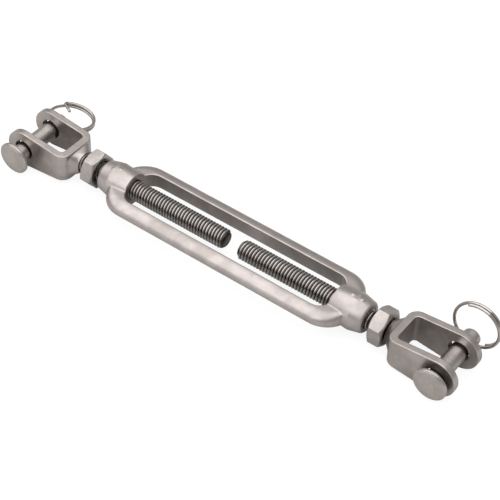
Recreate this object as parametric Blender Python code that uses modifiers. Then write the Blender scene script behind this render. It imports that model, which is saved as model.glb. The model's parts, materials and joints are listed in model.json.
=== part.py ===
"""Open-body jaw-and-jaw rigging turnbuckle, M6 size.

The rod axis runs along +X, the clevis pins along Y, and the whole lies on the plane z = 0 on the
four eyes of its jaws. Units are metres. The left end (-X) has the right-hand thread.
"""

import math

import bmesh
import bpy
from mathutils import Matrix, Vector

# Body: two side bars that close in to a threaded boss at each end
BODY_HALF_LENGTH = 0.0458
BAR_DEPTH = 0.00385  # each bar's section is half a superellipse, flat towards the window
BAR_HALF_HEIGHT = 0.00238
BAR_ROUNDNESS = 2.3  # the superellipse's power
SHOULDER_START = 0.03315  # where the bars begin to close in, along an arc
SHOULDER_RADIUS = 0.0080
SHOULDER_DROP = 0.0056  # how far they close in, which is inside the boss
BOSS_END_RADIUS = 0.00465
BOSS_ROOT_RADIUS = 0.00550
BOSS_ROOT_X = 0.0416
BOSS_NECK_RADIUS = 0.00480  # where the boss meets the window
BOSS_END_CHAMFER = 0.00045
WINDOW_HALF_LENGTH = 0.0352
WINDOW_HALF_WIDTH = 0.00692  # between the flat inner faces of the bars
WINDOW_CORNER_RADIUS = 0.0040

# Threaded rods, M6 x 1.0 over the crests, in plain bores with a running clearance
ROD_RADIUS = 0.00295
ROD_CLEARANCE = 0.00005
ROD_END_CHAMFER = 0.0005
LEFT_ROD_END = -0.0020
RIGHT_ROD_END = 0.0033

# Jaws, measured from the clevis pin's axis
LEFT_PIN_X = -0.0717
RIGHT_PIN_X = 0.0705
JAW_REACH = 0.0157  # pin axis to the back of the bridge
JAW_HALF_WIDTH = 0.00695
EAR_THICKNESS = 0.00205
BRIDGE_THICKNESS = 0.0023
BRIDGE_HALF_HEIGHT = 0.0043
JAW_OUTER_RADIUS = 0.0031
JAW_INNER_RADIUS = 0.0012
EYE_RADIUS = 0.0060
EYE_HOLE_RADIUS = 0.00305
NECK_LENGTH = 0.0023
NECK_END_RADIUS = 0.00345
SOCKET_DEPTH = 0.0034  # how far a rod reaches into its jaw's neck and bridge

# Lock nuts, 10 mm across flats
NUT_ACROSS_FLATS = 0.0100
NUT_THICKNESS = 0.0044
NUT_CHAMFER_DEPTH = 0.0006
NUT_FACE_SHARE = 0.48  # radius of the flat face left by the chamfer, of the width across flats
LEFT_NUT_X = -0.0495
RIGHT_NUT_X = 0.0501
LEFT_NUT_TURN = math.radians(7)
RIGHT_NUT_TURN = math.radians(32.5)

# Clevis pins, drawn along +Z from the head's inner face to the tip
PIN_RADIUS = 0.0026
PIN_LENGTH = 0.0211
PIN_HEAD_RADIUS = 0.0050
PIN_HEAD_THICKNESS = 0.0013
PIN_HEAD_CHAMFER = 0.0004
PIN_TIP_CHAMFER = 0.0010
CROSS_HOLE_AT = 0.0186  # from the head's inner face
CROSS_HOLE_RADIUS = 0.00102
PIN_DROP = 0.00038  # the pins rest on the lower side of their holes
LEFT_HEAD_Y = -0.0106
RIGHT_HEAD_Y = -0.0086

# Split rings: round wire wound one and a half turns
RING_RADIUS = 0.0068
WIRE_RADIUS = 0.00045
RING_PITCH = 0.00101
RING_TURNS = 1.5
RING_POINTS_PER_TURN = 36
RING_LEG_LENGTH = 0.0039

# Loops of the modelling: how finely round shapes are drawn, and how far cutters run past walls
SECTION_SIDES = 40
SHOULDER_STEPS = 10
NECK_STEPS = 4
JOIN_GAP = 0.0003  # keeps faces that meet from lying in one plane
CUTTER_MARGIN = 0.001
LONG_CUTTER = 0.12
WELD = 0.000005  # points closer than this are one
EMPTY_SIZE = 0.008

STEEL = (0.55, 0.53, 0.51)
DARK_STEEL = (0.33, 0.32, 0.31)


def clear_scene():
    for obj in list(bpy.data.objects):
        bpy.data.objects.remove(obj, do_unlink=True)


def new_collection(name):
    collection = bpy.data.collections.new(name)
    bpy.context.scene.collection.children.link(collection)
    return collection


def steel(name, colour, roughness):
    material = bpy.data.materials.new(name)
    material.use_nodes = True
    shader = material.node_tree.nodes["Principled BSDF"]
    shader.inputs["Base Color"].default_value = (*colour, 1)
    shader.inputs["Metallic"].default_value = 1.0
    shader.inputs["Roughness"].default_value = roughness
    return material


def empty(name, location, parent=None):
    obj = bpy.data.objects.new(name, None)
    obj.empty_display_size = EMPTY_SIZE
    obj.location = location
    obj.parent = parent
    PARTS.objects.link(obj)
    return obj


def mesh_object(name, bm, collection):
    mesh = bpy.data.meshes.new(name)
    bmesh.ops.recalc_face_normals(bm, faces=bm.faces)
    bm.to_mesh(mesh)
    bm.free()
    obj = bpy.data.objects.new(name, mesh)
    collection.objects.link(obj)
    return obj


def finish(obj, parent, material):
    """Hangs a part on its parent and gives it its material and smooth round faces."""
    obj.parent = parent
    obj.data.materials.append(material)
    obj.data.shade_smooth()
    obj.data.set_sharp_from_angle(angle=math.radians(35))
    return obj


def boolean(obj, other, operation):
    modifier = obj.modifiers.new(f"{operation.title()} {other.name}", "BOOLEAN")
    modifier.operation = operation
    modifier.object = other


def helper(obj, parent):
    obj.parent = parent
    obj.hide_render = True
    obj.display_type = "WIRE"
    return obj


def cylinder(name, radius, length, centre, axis, collection, sides=48):
    """A capped cylinder of the given length about centre, along the vector axis."""
    bm = bmesh.new()
    bmesh.ops.create_cone(
        bm, cap_ends=True, segments=sides, radius1=radius, radius2=radius, depth=length
    )
    turn = Vector(axis).to_track_quat("Z", "Y").to_matrix().to_4x4()
    bmesh.ops.transform(bm, matrix=Matrix.Translation(centre) @ turn, verts=bm.verts)
    return mesh_object(name, bm, collection)


def turned(name, profile, collection, steps=48):
    """A solid of revolution about local Z from (radius, height) points, top to bottom."""
    bm = bmesh.new()
    points = [bm.verts.new((radius, 0, height)) for radius, height in profile]
    for first, second in zip(points, points[1:]):
        bm.edges.new((first, second))
    obj = mesh_object(name, bm, collection)
    screw = obj.modifiers.new("Turn", "SCREW")
    screw.steps = steps
    screw.render_steps = steps
    screw.use_merge_vertices = True
    screw.merge_threshold = WELD
    return obj


def arc(centre_x, centre_y, radius, start_deg, end_deg, steps=6):
    """Points along an arc, both ends included."""
    angles = [
        math.radians(start_deg + (end_deg - start_deg) * i / steps)
        for i in range(steps + 1)
    ]
    return [
        (centre_x + radius * math.cos(a), centre_y + radius * math.sin(a))
        for a in angles
    ]


def plate(name, outline, half_depth, collection, upright=False):
    """A flat outline extruded both ways: along Z, or along Y when upright is set."""
    curve = bpy.data.curves.new(name, "CURVE")
    curve.dimensions = "2D"
    curve.fill_mode = "BOTH"
    curve.extrude = half_depth
    spline = curve.splines.new("POLY")
    spline.use_cyclic_u = True
    spline.points.add(len(outline) - 1)
    for point, (x, y) in zip(spline.points, outline):
        point.co = (x, y, 0, 1)
    drawn = bpy.data.objects.new(name + "_outline", curve)
    collection.objects.link(drawn)
    if upright:
        drawn.rotation_euler.x = math.radians(90)
    bpy.context.view_layer.update()
    evaluated = drawn.evaluated_get(bpy.context.evaluated_depsgraph_get())
    bm = bmesh.new()
    bm.from_mesh(bpy.data.meshes.new_from_object(evaluated))
    bmesh.ops.remove_doubles(bm, verts=bm.verts, dist=WELD)
    bmesh.ops.transform(bm, matrix=drawn.matrix_world, verts=bm.verts)
    bpy.data.objects.remove(drawn, do_unlink=True)
    return mesh_object(name, bm, collection)


def loft(name, sections, collection):
    """A closed skin over a row of rings that all have the same number of points."""
    bm = bmesh.new()
    rings = [[bm.verts.new(point) for point in section] for section in sections]
    count = len(rings[0])
    for near, far in zip(rings, rings[1:]):
        for i in range(count):
            j = (i + 1) % count
            bm.faces.new((near[i], near[j], far[j], far[i]))
    bm.faces.new(rings[0])
    bm.faces.new(rings[-1])
    return mesh_object(name, bm, collection)


def superellipse(x, half_width, half_height, power, sides):
    """One section across the rod axis, at x."""
    ring = []
    for i in range(sides):
        angle = 2 * math.pi * i / sides
        cos, sin = math.cos(angle), math.sin(angle)
        y = half_width * math.copysign(abs(cos) ** (2 / power), cos)
        z = half_height * math.copysign(abs(sin) ** (2 / power), sin)
        ring.append(Vector((x, y, z)))
    return ring


def bars_section(x, drop):
    """The section of both bars, joined across the middle, when they have closed in by drop."""
    half = []
    for i in range(SECTION_SIDES // 2):
        angle = math.radians(90) * (2 * i / (SECTION_SIDES // 2 - 1) - 1)
        cos, sin = max(math.cos(angle), 0.0), math.sin(angle)
        y = WINDOW_HALF_WIDTH - drop + BAR_DEPTH * cos ** (2 / BAR_ROUNDNESS)
        z = BAR_HALF_HEIGHT * math.copysign(abs(sin) ** (2 / BAR_ROUNDNESS), sin)
        half.append((y, z))
    return [Vector((x, y, z)) for y, z in half] + [Vector((x, -y, -z)) for y, z in half]


def make_boss(side, way, parent):
    """The round boss at one end, a swelling turned about the rod's axis."""
    inner = WINDOW_HALF_LENGTH - WINDOW_CORNER_RADIUS
    chamfer = BOSS_END_CHAMFER
    profile = [
        (0, BODY_HALF_LENGTH),
        (BOSS_END_RADIUS - chamfer, BODY_HALF_LENGTH),
        (BOSS_END_RADIUS, BODY_HALF_LENGTH - chamfer),
        (BOSS_ROOT_RADIUS, BOSS_ROOT_X),
        (BOSS_NECK_RADIUS, inner),
        (0, inner),
    ]
    boss = turned(f"{side}_boss", profile, CUTTERS, steps=SECTION_SIDES)
    boss.rotation_euler.y = math.radians(90) * way
    return helper(boss, parent)


def make_body(parent):
    last = math.acos(1 - SHOULDER_DROP / SHOULDER_RADIUS)
    half = [(0.0, 0.0), (SHOULDER_START / 2, 0.0)]
    for step in range(SHOULDER_STEPS + 1):
        angle = last * step / SHOULDER_STEPS
        drop = SHOULDER_RADIUS * (1 - math.cos(angle))
        half.append((SHOULDER_START + SHOULDER_RADIUS * math.sin(angle), drop))
    stations = [(-x, drop) for x, drop in reversed(half[1:])] + half
    sections = [bars_section(x, drop) for x, drop in stations]
    body = loft("body_frame", sections, PARTS)
    half_x, half_y, r = WINDOW_HALF_LENGTH, WINDOW_HALF_WIDTH, WINDOW_CORNER_RADIUS
    outline = arc(half_x - r, half_y - r, r, 0, 90)
    outline += arc(r - half_x, half_y - r, r, 90, 180)
    outline += arc(r - half_x, r - half_y, r, 180, 270)
    outline += arc(half_x - r, r - half_y, r, 270, 360)
    window = plate("window_cutter", outline, BOSS_ROOT_RADIUS + CUTTER_MARGIN, CUTTERS)
    bore = cylinder(
        "boss_bore_cutter", ROD_RADIUS + ROD_CLEARANCE, LONG_CUTTER, (0, 0, 0), (1, 0, 0), CUTTERS
    )
    for side, way in (("left", -1), ("right", 1)):
        boolean(body, make_boss(side, way, parent), "UNION")
    for cutter in (window, bore):
        boolean(body, helper(cutter, parent), "DIFFERENCE")
    return finish(body, parent, steel("body_steel", STEEL, 0.38))


def jaw_plan():
    """The U of a jaw from above, open towards +X, with the pin's axis at the origin."""
    outer, inner = JAW_HALF_WIDTH, JAW_HALF_WIDTH - EAR_THICKNESS
    mouth = EYE_RADIUS + CUTTER_MARGIN
    back = -JAW_REACH
    throat = BRIDGE_THICKNESS - JAW_REACH
    big, small = JAW_OUTER_RADIUS, JAW_INNER_RADIUS
    points = [(mouth, outer)] + arc(back + big, outer - big, big, 90, 180)
    points += arc(back + big, big - outer, big, 180, 270) + [(mouth, -outer)]
    points += [(mouth, -inner)] + arc(throat + small, small - inner, small, 270, 180)
    points += arc(throat + small, inner - small, small, 180, 90) + [(mouth, inner)]
    return points


def jaw_side():
    """The side of a jaw: a round eye that narrows towards the bridge along its tangents."""
    back, low = -(JAW_REACH + CUTTER_MARGIN), BRIDGE_HALF_HEIGHT
    distance = math.hypot(back, low)
    tangent = math.degrees(
        math.atan2(low, back) - math.acos(EYE_RADIUS / distance)
    )
    return arc(0, 0, EYE_RADIUS, -tangent, tangent, 28) + [(back, low), (back, -low)]


def jaw_neck(name):
    """The funnel behind the bridge, square at the bridge and round at the rod."""
    half_y = JAW_HALF_WIDTH - JAW_OUTER_RADIUS
    half_z = BRIDGE_HALF_HEIGHT - JOIN_GAP
    inside = BRIDGE_THICKNESS / 4  # the neck starts a little inside the bridge
    rings = []
    for step in range(NECK_STEPS + 1):
        share = step / NECK_STEPS
        x = -(JAW_REACH - inside) - (NECK_LENGTH + inside) * share
        width = half_y + (NECK_END_RADIUS - half_y) * share
        height = half_z + (NECK_END_RADIUS - half_z) * share
        rings.append(superellipse(x, width, height, 6 - 4 * share, 32))
    return loft(name, rings, CUTTERS)


def make_jaw(side, jaw_origin, turn):
    """A jaw is its plan and its side, crossed, with a neck added and its holes drilled."""
    local = empty(f"{side}_jaw_frame", (0, 0, 0), jaw_origin)
    local.rotation_euler.z = turn
    fork = plate(f"{side}_fork", jaw_plan(), EYE_RADIUS + CUTTER_MARGIN, PARTS)
    half_width = JAW_HALF_WIDTH + CUTTER_MARGIN
    profile = plate(f"{side}_fork_side", jaw_side(), half_width, CUTTERS, upright=True)
    boolean(fork, helper(profile, local), "INTERSECT")
    boolean(fork, helper(jaw_neck(f"{side}_fork_neck"), local), "UNION")
    eyes = cylinder(
        f"{side}_eye_cutter", EYE_HOLE_RADIUS, 2 * half_width, (0, 0, 0), (0, 1, 0), CUTTERS
    )
    boolean(fork, helper(eyes, local), "DIFFERENCE")
    socket_end = -(JAW_REACH + NECK_LENGTH) + SOCKET_DEPTH
    socket_length = SOCKET_DEPTH + CUTTER_MARGIN
    socket = cylinder(
        f"{side}_socket_cutter",
        ROD_RADIUS + ROD_CLEARANCE,
        socket_length,
        (socket_end - socket_length / 2, 0, 0),
        (1, 0, 0),
        CUTTERS,
    )
    boolean(fork, helper(socket, local), "DIFFERENCE")
    return finish(fork, local, steel(f"{side}_fork_steel", STEEL, 0.34))


def make_rod(side, pin_x, free_end, jaw_origin):
    """A threaded rod from its socket in the jaw to its free end in the window."""
    way = -math.copysign(1, pin_x)  # from the jaw towards the body's middle
    start = JAW_REACH + NECK_LENGTH - SOCKET_DEPTH + JOIN_GAP
    end = abs(free_end - pin_x)
    chamfer, radius = ROD_END_CHAMFER, ROD_RADIUS
    profile = [
        (0, end),
        (radius - chamfer, end),
        (radius, end - chamfer),
        (radius, start),
        (0, start),
    ]
    rod = turned(f"{side}_stud", profile, PARTS)
    rod.rotation_euler.y = math.radians(90) * way
    return finish(rod, jaw_origin, steel(f"{side}_stud_steel", DARK_STEEL, 0.3))


def make_nut(side, carrier, turn):
    """A hexagon with both faces chamfered, bored to clear the rod."""
    across_corners = NUT_ACROSS_FLATS / math.sqrt(3)
    half = NUT_THICKNESS / 2
    nut = cylinder(
        f"{side}_lock_nut",
        across_corners,
        NUT_THICKNESS,
        (0, 0, 0),
        (1, 0, 0),
        PARTS,
        sides=6,
    )
    corner = nut.data.vertices[0].co
    nut.rotation_euler.x = turn - math.atan2(corner.z, corner.y)
    margin = CUTTER_MARGIN
    face_radius = NUT_ACROSS_FLATS * NUT_FACE_SHARE
    rise = margin * NUT_CHAMFER_DEPTH / (across_corners - face_radius)
    barrel = turned(
        f"{side}_nut_chamfer",
        [
            (0, half),
            (face_radius, half),
            (across_corners + margin, half - NUT_CHAMFER_DEPTH - rise),
            (across_corners + margin, NUT_CHAMFER_DEPTH + rise - half),
            (face_radius, -half),
            (0, -half),
        ],
        CUTTERS,
        steps=72,
    )
    barrel.rotation_euler.y = math.radians(90)
    bore = cylinder(
        f"{side}_nut_bore_cutter",
        ROD_RADIUS + ROD_CLEARANCE,
        NUT_THICKNESS + 2 * margin,
        (0, 0, 0),
        (1, 0, 0),
        CUTTERS,
    )
    boolean(nut, helper(barrel, carrier), "INTERSECT")
    boolean(nut, helper(bore, carrier), "DIFFERENCE")
    return finish(nut, carrier, steel(f"{side}_nut_steel", STEEL, 0.4))


def make_pin(side, pin_origin, hole_tilt):
    """A headed pin along +Y from pin_origin, which is the centre of the head's inner face."""
    r, head, thick = PIN_RADIUS, PIN_HEAD_RADIUS, PIN_HEAD_THICKNESS
    bevel, tip = PIN_HEAD_CHAMFER, PIN_TIP_CHAMFER
    profile = [
        (0, PIN_LENGTH),
        (r - tip, PIN_LENGTH),
        (r - tip * 0.35, PIN_LENGTH - tip * 0.35),
        (r, PIN_LENGTH - tip),
        (r, 0),
        (head - bevel / 2, 0),
        (head, -bevel / 2),
        (head, bevel - thick),
        (head - bevel, -thick),
        (0, -thick),
    ]
    pin = turned(f"{side}_clevis_pin", profile, PARTS)
    pin.rotation_euler.x = math.radians(-90)
    axis = (math.cos(hole_tilt), 0, math.sin(hole_tilt))
    hole = cylinder(
        f"{side}_cross_hole_cutter",
        CROSS_HOLE_RADIUS,
        4 * PIN_RADIUS,
        (0, CROSS_HOLE_AT, 0),
        axis,
        CUTTERS,
        sides=24,
    )
    boolean(pin, helper(hole, pin_origin), "DIFFERENCE")
    return finish(pin, pin_origin, steel(f"{side}_pin_steel", STEEL, 0.3))


def ring_points(start_deg, with_leg):
    """A ring's wire in its own plane: X runs along the cross hole, Y from the hole to the
    ring's middle. The hole is at angle 0, and the wire makes RING_TURNS from start_deg on."""
    count = round(RING_TURNS * RING_POINTS_PER_TURN)
    slack = WIRE_RADIUS / 2  # the wire's bow inside the straight hole is shared both ways
    points = []
    for i in range(count + 1):
        angle = math.radians(start_deg + 360 * RING_TURNS * i / count)
        x = RING_RADIUS * math.sin(angle)
        y = RING_RADIUS * (1 - math.cos(angle)) - slack
        points.append(Vector((x, y, RING_PITCH * angle / (2 * math.pi))))
    if with_leg:
        middle = Vector((0, RING_RADIUS - slack, points[-1].z))
        inward = (middle - points[-1]).normalized()
        points.append(points[-1] + inward * RING_LEG_LENGTH)
    return points


def make_ring(side, swing, start_deg, with_leg):
    curve = bpy.data.curves.new(f"{side}_ring_wire", "CURVE")
    curve.dimensions = "3D"
    curve.bevel_depth = WIRE_RADIUS
    curve.bevel_resolution = 2
    curve.use_fill_caps = True
    points = ring_points(start_deg, with_leg)
    spline = curve.splines.new("POLY")
    spline.points.add(len(points) - 1)
    for target, point in zip(spline.points, points):
        target.co = (*point, 1)
    ring = bpy.data.objects.new(f"{side}_split_ring", curve)
    PARTS.objects.link(ring)
    ring.parent = swing
    curve.materials.append(steel(f"{side}_ring_steel", STEEL, 0.25))
    return ring


def ring_swing(side, pin_origin, hole_tilt, lean):
    """The frame that a ring swings in: X along the cross hole, Y towards the ring's middle.
    At a lean of 0 the ring lies level, reaching away along +Y."""
    swing = empty(f"{side}_ring_swing", (0, CROSS_HOLE_AT, 0), pin_origin)
    along = Vector((math.cos(hole_tilt), 0, math.sin(hole_tilt)))
    across = Vector((-along.z, 0, along.x))
    reach = math.cos(lean) * Vector((0, 1, 0)) + math.sin(lean) * across
    normal = along.cross(reach)
    rows = Matrix((along, reach, normal)).transposed()
    swing.rotation_euler = rows.to_euler()
    return swing


def make_end(side, assembly, pin_x, rod_end, nut_x, nut_turn, head_y, ring):
    """One end of the turnbuckle: nut, jaw, rod, pin and ring."""
    carrier = empty(f"{side}_nut_carrier", (nut_x, 0, 0), assembly)
    make_nut(side, carrier, nut_turn)
    jaw_origin = empty(f"{side}_jaw", (pin_x, 0, 0), assembly)
    make_jaw(side, jaw_origin, math.pi if pin_x < 0 else 0.0)
    make_rod(side, pin_x, rod_end, jaw_origin)
    pin_origin = empty(f"{side}_pin", (0, head_y, -PIN_DROP), jaw_origin)
    make_pin(side, pin_origin, ring["hole_tilt"])
    swing = ring_swing(side, pin_origin, ring["hole_tilt"], ring["lean"])
    make_ring(side, swing, ring["start_deg"], ring["with_leg"])


def centre_on_origin(assembly):
    """Moves the whole so that the middle of its footprint is the origin, standing on z = 0."""
    bpy.context.view_layer.update()
    graph = bpy.context.evaluated_depsgraph_get()
    corners = []
    for obj in PARTS.objects:
        if obj.type == "EMPTY":
            continue
        mesh = obj.evaluated_get(graph).to_mesh()
        corners += [obj.matrix_world @ vertex.co for vertex in mesh.vertices]
        obj.evaluated_get(graph).to_mesh_clear()
    low = [min(c[i] for c in corners) for i in range(3)]
    high = [max(c[i] for c in corners) for i in range(3)]
    assembly.location.x -= (low[0] + high[0]) / 2
    assembly.location.y -= (low[1] + high[1]) / 2
    assembly.location.z -= low[2]


clear_scene()
PARTS = new_collection("rigging_turnbuckle")
CUTTERS = new_collection("cutters")
ASSEMBLY = empty("turnbuckle_assembly", (0, 0, 0))
make_body(ASSEMBLY)
make_end(
    "left", ASSEMBLY, LEFT_PIN_X, LEFT_ROD_END, LEFT_NUT_X, LEFT_NUT_TURN, LEFT_HEAD_Y,
    {"hole_tilt": math.radians(-5), "lean": math.radians(-11), "start_deg": -300, "with_leg": True},
)
make_end(
    "right", ASSEMBLY, RIGHT_PIN_X, RIGHT_ROD_END, RIGHT_NUT_X, RIGHT_NUT_TURN, RIGHT_HEAD_Y,
    {"hole_tilt": math.radians(-12), "lean": math.radians(88), "start_deg": -320, "with_leg": False},
)
centre_on_origin(ASSEMBLY)
print("assembly moved to", [round(v, 5) for v in ASSEMBLY.location])
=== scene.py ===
# %% [markdown]
# # A rigging turnbuckle, from its frame to its finish
# A turnbuckle takes the slack out of a wire or a chain. Two threaded rods, one right-hand and one
# left-hand, screw into the ends of an open body, and each carries a forked jaw with a headed
# clevis pin and a split ring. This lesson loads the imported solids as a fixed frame, and then
# makes each piece again with the detail that light shows: rounded edges, real threads, flared
# necks, and steel that is cast, rolled, forged, turned or drawn. The frame comes first, because
# it says where every piece goes.

import json
import math

import bmesh
import bpy
from mathutils import Matrix, Vector


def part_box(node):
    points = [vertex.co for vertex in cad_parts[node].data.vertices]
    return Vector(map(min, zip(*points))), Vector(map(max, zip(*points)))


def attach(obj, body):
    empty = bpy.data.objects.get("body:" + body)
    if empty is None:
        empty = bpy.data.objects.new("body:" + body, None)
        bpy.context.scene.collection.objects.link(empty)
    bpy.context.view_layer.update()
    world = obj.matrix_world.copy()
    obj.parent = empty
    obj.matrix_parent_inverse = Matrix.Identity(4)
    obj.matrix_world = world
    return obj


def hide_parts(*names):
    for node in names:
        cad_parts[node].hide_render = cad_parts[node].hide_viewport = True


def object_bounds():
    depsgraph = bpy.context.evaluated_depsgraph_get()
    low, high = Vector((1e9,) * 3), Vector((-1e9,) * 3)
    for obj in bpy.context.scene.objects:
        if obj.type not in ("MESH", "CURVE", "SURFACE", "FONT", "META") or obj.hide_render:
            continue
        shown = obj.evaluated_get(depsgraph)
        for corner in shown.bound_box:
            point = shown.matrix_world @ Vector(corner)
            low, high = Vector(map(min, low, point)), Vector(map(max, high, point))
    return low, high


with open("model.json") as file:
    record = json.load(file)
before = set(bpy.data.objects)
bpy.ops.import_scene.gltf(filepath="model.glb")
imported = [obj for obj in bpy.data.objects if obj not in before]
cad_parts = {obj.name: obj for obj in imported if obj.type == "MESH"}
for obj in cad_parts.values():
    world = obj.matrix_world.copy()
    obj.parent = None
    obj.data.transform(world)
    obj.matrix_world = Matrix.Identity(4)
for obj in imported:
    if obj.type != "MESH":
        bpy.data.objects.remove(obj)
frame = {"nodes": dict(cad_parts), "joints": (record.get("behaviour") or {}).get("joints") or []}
solid_low, solid_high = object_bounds()
joints = {joint["name"]: joint for joint in frame["joints"]}

# %% [markdown]
# ## Reading places from the frame
# Both rods lie on one line, which the frame gives as the point and axis of each jaw's turning
# joint. Everything is placed from that line, from the clevis pins' places on it, and from the
# boxes of the solids. `way` is the direction that leads out of the body at each end.

# %% The line of the rods, and the two ends
AXIS_Y, AXIS_Z = joints["left_jaw_turn"]["pos_m"][1:]
body_low, body_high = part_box("body_frame")
BODY_X = (body_low.x + body_high.x) / 2
ENDS = {}
for side, way in (("left", -1), ("right", 1)):
    turn = joints[f"{side}_jaw_turn"]["pos_m"]
    ENDS[side] = {"way": way, "pin_x": turn[0]}
    print(side, "pin stands", round(1000 * (turn[0] - BODY_X), 2), "mm from the body's middle")


def spot(x, y=0.0, z=0.0):
    """A point given along the rods' line and out from it."""
    return Vector((x, AXIS_Y + y, AXIS_Z + z))


def facing(origin, along, across=(0, 0, 1)):
    """A frame whose Z runs along a direction, for pieces that are turned or swept about Z."""
    z = Vector(along).normalized()
    x = (Vector(across) - Vector(across).dot(z) * z).normalized()
    rows = Matrix((x, z.cross(x), z)).transposed().to_4x4()
    return Matrix.Translation(origin) @ rows


# %% [markdown]
# ## Camera
# The camera looks down on the turnbuckle from in front and to the right, through a long lens,
# so that the far end is only a little smaller than the near one. Azimuth and elevation say
# where it stands, and a slight roll tilts the picture.

# %% Camera
CAMERA_AZIMUTH, CAMERA_ELEVATION, CAMERA_ROLL = (math.radians(a) for a in (35.04, 45.04, 2.36))
CAMERA_DISTANCE = 0.43788
CAMERA_LENS = 113.67  # millimetres, on a 36 mm sensor
CAMERA_TARGET = Vector((0.00508, -0.00356, 0.00550))

back = Vector((
    math.sin(CAMERA_AZIMUTH) * math.cos(CAMERA_ELEVATION),
    -math.cos(CAMERA_AZIMUTH) * math.cos(CAMERA_ELEVATION),
    math.sin(CAMERA_ELEVATION),
))
level = (-back).cross(Vector((0, 0, 1))).normalized()
upright = level.cross(-back)
right = math.cos(CAMERA_ROLL) * level + math.sin(CAMERA_ROLL) * upright
up = math.cos(CAMERA_ROLL) * upright - math.sin(CAMERA_ROLL) * level
camera = bpy.data.objects.new("camera", bpy.data.cameras.new("camera"))
camera.data.lens = CAMERA_LENS
camera.data.clip_start = 0.01
camera.matrix_world = Matrix.Translation(CAMERA_TARGET + back * CAMERA_DISTANCE) @ (
    Matrix((right, up, back)).transposed().to_4x4()
)
bpy.context.scene.collection.objects.link(camera)
bpy.context.scene.camera = camera
print("camera stands at", [round(v, 3) for v in camera.location])

# %% [markdown]
# ## Helpers for making metal
# Steel parts come from a few ways of working. A turned part is a profile swept round an axis. A
# plate is an outline with depth. A loft is a skin over a row of sections. `cast` welds such
# rough solids into one, cuts holes, and then lays a fine even skin of small faces over the result
# and relaxes it, which rounds every edge and fills every corner as a mould or a tumbling drum
# does. That suits the body and the forks better than bevelled edges, whose corners would stay
# machine-sharp where cast walls flow into each other.

# %% Turned parts, plates and lofts
NEW = bpy.data.collections.new("turnbuckle_pieces")
bpy.context.scene.collection.children.link(NEW)


def mesh_piece(name, bm, place=Matrix()):
    """Makes an object of the drawn faces, all facing out, and puts it in its place."""
    bmesh.ops.recalc_face_normals(bm, faces=bm.faces)
    mesh = bpy.data.meshes.new(name)
    bm.to_mesh(mesh)
    bm.free()
    piece = bpy.data.objects.new(name, mesh)
    piece.matrix_world = place
    NEW.objects.link(piece)
    return piece


def turned(name, profile, steps=96, place=Matrix()):
    """A profile of (radius, height) points swept round Z. A radius of 0 closes it."""
    bm = bmesh.new()
    rings = []
    for radius, height in profile:
        if radius == 0:
            rings.append([bm.verts.new((0, 0, height))] * steps)
            continue
        angles = (2 * math.pi * i / steps for i in range(steps))
        rings.append([
            bm.verts.new((radius * math.cos(a), radius * math.sin(a), height)) for a in angles
        ])
    for near, far in zip(rings, rings[1:]):
        for i in range(steps):
            corners = [near[i], near[(i + 1) % steps], far[(i + 1) % steps], far[i]]
            bm.faces.new(list(dict.fromkeys(corners)))
    return mesh_piece(name, bm, place)


def drill(name, radius, start, stop, place, steps=64):
    """A plain cylinder between two heights, to cut a round hole with."""
    return turned(name, [(0, start), (radius, start), (radius, stop), (0, stop)], steps, place)


def lofted(name, sections, place=Matrix()):
    """A closed skin over a row of sections that have the same number of points."""
    bm = bmesh.new()
    rings = [[bm.verts.new(point) for point in section] for section in sections]
    count = len(rings[0])
    for near, far in zip(rings, rings[1:]):
        for i in range(count):
            bm.faces.new([near[i], near[(i + 1) % count], far[(i + 1) % count], far[i]])
    bm.faces.new(rings[0])
    bm.faces.new(rings[-1])
    return mesh_piece(name, bm, place)


def plate(name, outline, half_depth, place=Matrix()):
    """An outline in X and Y, with depth along Z."""
    sections = [[(x, y, z) for x, y in outline] for z in (-half_depth, half_depth)]
    return lofted(name, sections, place)


def arc(centre_x, centre_y, radius, start_deg, end_deg, steps=10):
    """Points along an arc, both ends included."""
    points = []
    for i in range(steps + 1):
        angle = math.radians(start_deg + (end_deg - start_deg) * i / steps)
        points.append((centre_x + radius * math.cos(angle), centre_y + radius * math.sin(angle)))
    return points


def superellipse(x, half_width, half_height, power, sides):
    """A section across X that is rounder than a box and squarer than an ellipse."""
    ring = []
    for i in range(sides):
        angle = 2 * math.pi * i / sides
        cos, sin = math.cos(angle), math.sin(angle)
        ring.append((
            x,
            half_width * math.copysign(abs(cos) ** (2 / power), cos),
            half_height * math.copysign(abs(sin) ** (2 / power), sin),
        ))
    return ring


# %% Joining, cutting and relaxing
CAST_LUMPS = bpy.data.textures.new("cast_lumps", "CLOUDS")
CAST_LUMPS.noise_scale = 0.0035


def settle(piece):
    """Makes the modifiers' result the piece's own mesh."""
    graph = bpy.context.evaluated_depsgraph_get()
    result = bpy.data.meshes.new_from_object(piece.evaluated_get(graph))
    piece.modifiers.clear()
    piece.data = result
    piece.data.shade_smooth()


def combine(piece, others, operation):
    """Joins, cuts or crosses a piece with others, which are used up."""
    for other in others:
        modifier = piece.modifiers.new(f"{operation}_{other.name}", "BOOLEAN")
        modifier.operation = operation
        modifier.solver = "EXACT"
        modifier.object = other
    bpy.context.view_layer.update()
    settle(piece)
    for other in others:
        bpy.data.objects.remove(other, do_unlink=True)


def cast(piece, added, cutters, skin, relax, lumps):
    """Joins and cuts, then lays an even skin of faces over the result and relaxes it."""
    combine(piece, added, "UNION")
    combine(piece, cutters, "DIFFERENCE")
    remesh = piece.modifiers.new("even_skin", "REMESH")
    remesh.mode = "VOXEL"
    remesh.voxel_size = skin
    smooth = piece.modifiers.new("relax", "SMOOTH")
    smooth.factor = 0.5
    smooth.iterations = relax
    uneven = piece.modifiers.new("lumps", "DISPLACE")
    uneven.texture = CAST_LUMPS
    uneven.texture_coords = "LOCAL"
    uneven.mid_level = 0.5
    uneven.strength = lumps
    settle(piece)
    print(piece.name, "has", len(piece.data.polygons), "faces")


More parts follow.
